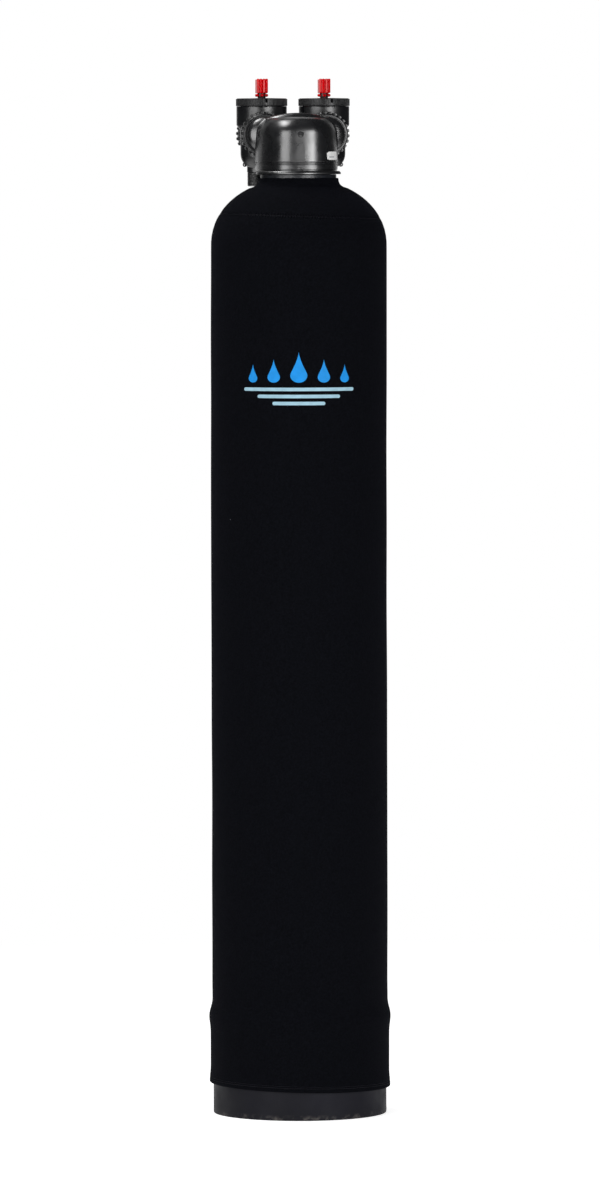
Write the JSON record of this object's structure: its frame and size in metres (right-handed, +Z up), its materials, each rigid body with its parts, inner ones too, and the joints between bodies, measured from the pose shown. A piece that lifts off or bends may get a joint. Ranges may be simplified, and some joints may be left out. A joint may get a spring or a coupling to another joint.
{
  "type": "whole house carbon filter",
  "caption": "Tall upright water filter: jacketed pressure tank on a boot, domed in/out head, and a bypass valve with red handles and elbows that point down.",
  "frame": {"origin": "centre of the boot's underside, on the tank's axis", "axes": "+Z up along the tank, +Y from the tank toward the bypass valve and the pipes, +X toward the inlet"},
  "size_m": [0.274, 0.3598, 1.5588],
  "materials": {
    "boot_rubber": "matte",
    "tank_shell": "semi-gloss",
    "jacket": "matte",
    "gravel": "matte",
    "carbon": "matte",
    "white_pipe": "semi-gloss",
    "grey_plastic": "matte",
    "seal_rubber": "matte",
    "black_plastic": "satin",
    "red_plastic": "semi-gloss"
  },
  "bodies": {
    "filter": {"tank_base_boot": "boot_rubber", "pressure_tank": "tank_shell", "insulating_jacket": "jacket", "gravel_bed": "gravel", "carbon_bed": "carbon", "riser_tube": "white_pipe", "riser_o_ring": "seal_rubber", "bottom_basket": "grey_plastic", "top_basket": "grey_plastic", "neck_o_ring": "seal_rubber", "in_out_head": "black_plastic", "bypass_body": "black_plastic", "inlet_head_nut": "black_plastic", "inlet_head_split_ring": "grey_plastic", "inlet_head_o_ring": "seal_rubber", "inlet_pipe_nut": "black_plastic", "inlet_pipe_split_ring": "grey_plastic", "inlet_pipe_o_ring": "seal_rubber", "outlet_head_nut": "black_plastic", "outlet_head_split_ring": "grey_plastic", "outlet_head_o_ring": "seal_rubber", "outlet_pipe_nut": "black_plastic", "outlet_pipe_split_ring": "grey_plastic", "outlet_pipe_o_ring": "seal_rubber", "inlet_cap": "black_plastic", "inlet_cap_o_ring": "seal_rubber", "outlet_cap": "black_plastic", "outlet_cap_o_ring": "seal_rubber", "inlet_elbow": "black_plastic", "outlet_elbow": "black_plastic"},
    "inlet_valve": {"inlet_rotor": "grey_plastic", "inlet_barrel_seal": "seal_rubber", "inlet_stem_o_ring": "seal_rubber", "inlet_handle": "red_plastic"},
    "outlet_valve": {"outlet_rotor": "grey_plastic", "outlet_barrel_seal": "seal_rubber", "outlet_stem_o_ring": "seal_rubber", "outlet_handle": "red_plastic"}
  },
  "joints": [
    {"name": "inlet_turn", "type": "hinge", "parent": "filter", "child": "inlet_valve", "pos_m": [0.0474, 0.12, 1.5298], "axis": [0, 0, 1], "range_deg": [0, 90]},
    {"name": "outlet_turn", "type": "hinge", "parent": "filter", "child": "outlet_valve", "pos_m": [-0.0474, 0.12, 1.5298], "axis": [0, 0, 1], "range_deg": [-90, 0]}
  ]
}
